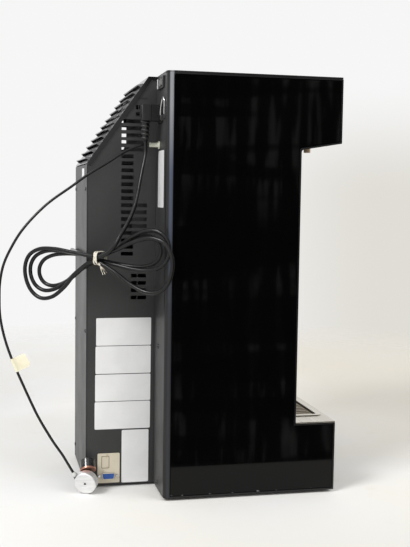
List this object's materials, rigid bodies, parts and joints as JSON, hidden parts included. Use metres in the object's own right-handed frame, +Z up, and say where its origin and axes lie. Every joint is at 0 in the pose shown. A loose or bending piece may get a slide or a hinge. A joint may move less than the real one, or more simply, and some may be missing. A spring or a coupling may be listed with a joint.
{
  "type": "wine dispenser",
  "caption": "Counter-top wine preservation dispenser: cooled glass-doored bottle cabin between gloss side panels, pouring head over a drip tray, louvred cooling housing behind.",
  "frame": {"origin": "middle of the footprint of the cabinet and its cooling housing, on the surface that the feet stand on, cords left out", "axes": "+Z up, -Y towards the person who pours, +X to that person's right"},
  "size_m": [0.3971, 0.5206, 0.65],
  "materials": {
    "side_glass": "black, mirror gloss",
    "frame_black": "satin",
    "charcoal_sheet": "matt powder coat",
    "satin_black": "satin",
    "stainless": "brushed",
    "aluminium": "satin",
    "rubber": "matt",
    "black_plastic": "matt",
    "grey_plastic": "satin",
    "liner_grey": "matt",
    "beige_plate": "matt",
    "blue_plastic": "satin",
    "cream_plastic": "satin",
    "board_green": "satin",
    "clear_glass": "clear",
    "smoked_glass": "smoked",
    "silicone": "matt"
  },
  "bodies": {
    "cabinet": {"side_frame_left": "frame_black", "side_frame_right": "frame_black", "top_cover": "frame_black", "side_glass_left": "side_glass", "side_glass_right": "side_glass", "base_front": "side_glass", "head_fascia": "side_glass", "base_deck": "stainless", "spout_1": "stainless", "spout_2": "stainless", "spout_3": "stainless", "base_pan": "satin_black", "head_underside": "satin_black", "louvre_panel": "satin_black", "display_strip": "smoked_glass", "control_board": "board_green", "cold_sink": "aluminium", "lift_block": "aluminium", "valve_block": "aluminium", "heat_sink": "aluminium", "cabin_liner": "liner_grey", "bottle_head_1": "silicone", "bottle_head_2": "silicone", "bottle_head_3": "silicone", "rear_flange_left": "charcoal_sheet", "rear_flange_right": "charcoal_sheet", "housing_side_left": "charcoal_sheet", "housing_side_right": "charcoal_sheet", "housing_rear": "charcoal_sheet", "housing_floor": "charcoal_sheet", "power_inlet": "black_plastic", "switch_housing": "black_plastic", "fan_frame": "black_plastic", "regulator_body": "black_plastic", "gas_fitting": "cream_plastic", "connector_plate": "beige_plate", "data_connector": "blue_plastic", "mains_plug": "rubber", "mains_lead": "rubber", "lead_hank": "rubber", "lead_tail": "rubber", "wall_plug": "rubber", "gas_hose": "rubber"},
    "door": {"door_frame": "satin_black", "door_glass": "clear_glass"},
    "rocker": {"rocker_switch": "grey_plastic"},
    "tray": {"drip_tray": "stainless"},
    "grille": {"drip_grille": "stainless"},
    "fan": {"fan_rotor": "black_plastic"},
    "knob": {"regulator_knob": "aluminium"},
    "push_1": {"button_1": "aluminium"},
    "push_2": {"button_2": "aluminium"},
    "push_3": {"button_3": "aluminium"},
    "push_4": {"button_4": "aluminium"},
    "push_5": {"button_5": "aluminium"},
    "push_6": {"button_6": "aluminium"},
    "lift_1": {"lift_platform_1": "stainless"},
    "lift_2": {"lift_platform_2": "stainless"},
    "lift_3": {"lift_platform_3": "stainless"}
  },
  "joints": [
    {"name": "door_hinge", "type": "hinge", "parent": "cabinet", "child": "door", "pos_m": [0.163, -0.1195, 0.3], "axis": [0, 0, 1], "range_deg": [0, 92]},
    {"name": "push_1_slide", "type": "slide", "parent": "cabinet", "child": "push_1", "axis": [0, 1, 0], "range_m": [0, 0.0015], "stiffness_N_per_m": 400, "springref_m": -0.001},
    {"name": "push_2_slide", "type": "slide", "parent": "cabinet", "child": "push_2", "axis": [0, 1, 0], "range_m": [0, 0.0015], "stiffness_N_per_m": 400, "springref_m": -0.001},
    {"name": "push_3_slide", "type": "slide", "parent": "cabinet", "child": "push_3", "axis": [0, 1, 0], "range_m": [0, 0.0015], "stiffness_N_per_m": 400, "springref_m": -0.001},
    {"name": "push_4_slide", "type": "slide", "parent": "cabinet", "child": "push_4", "axis": [0, 1, 0], "range_m": [0, 0.0015], "stiffness_N_per_m": 400, "springref_m": -0.001},
    {"name": "push_5_slide", "type": "slide", "parent": "cabinet", "child": "push_5", "axis": [0, 1, 0], "range_m": [0, 0.0015], "stiffness_N_per_m": 400, "springref_m": -0.001},
    {"name": "push_6_slide", "type": "slide", "parent": "cabinet", "child": "push_6", "axis": [0, 1, 0], "range_m": [0, 0.0015], "stiffness_N_per_m": 400, "springref_m": -0.001},
    {"name": "rocker_hinge", "type": "hinge", "parent": "cabinet", "child": "rocker", "pos_m": [-0.139, 0.0823, 0.636], "axis": [0, 0, 1], "range_deg": [0, 14]},
    {"name": "lift_1_slide", "type": "slide", "parent": "cabinet", "child": "lift_1", "axis": [0, 0, 1], "range_m": [0, 0.06]},
    {"name": "lift_2_slide", "type": "slide", "parent": "cabinet", "child": "lift_2", "axis": [0, 0, 1], "range_m": [0, 0.06]},
    {"name": "lift_3_slide", "type": "slide", "parent": "cabinet", "child": "lift_3", "axis": [0, 0, 1], "range_m": [0, 0.06]},
    {"name": "tray_slide", "type": "slide", "parent": "cabinet", "child": "tray", "axis": [0, 0, 1], "range_m": [0, 0.03]},
    {"name": "grille_slide", "type": "slide", "parent": "tray", "child": "grille", "axis": [0, 0, 1], "range_m": [0, 0.02]},
    {"name": "fan_spin", "type": "hinge", "parent": "cabinet", "child": "fan", "pos_m": [0, 0.13, 0.455], "axis": [0, 1, 0], "continuous": true},
    {"name": "knob_turn", "type": "hinge", "parent": "cabinet", "child": "knob", "pos_m": [-0.1285, 0.1965, 0.01697], "axis": [0.8936, -0.3978, 0.2079], "range_deg": [0, 300]}
  ]
}
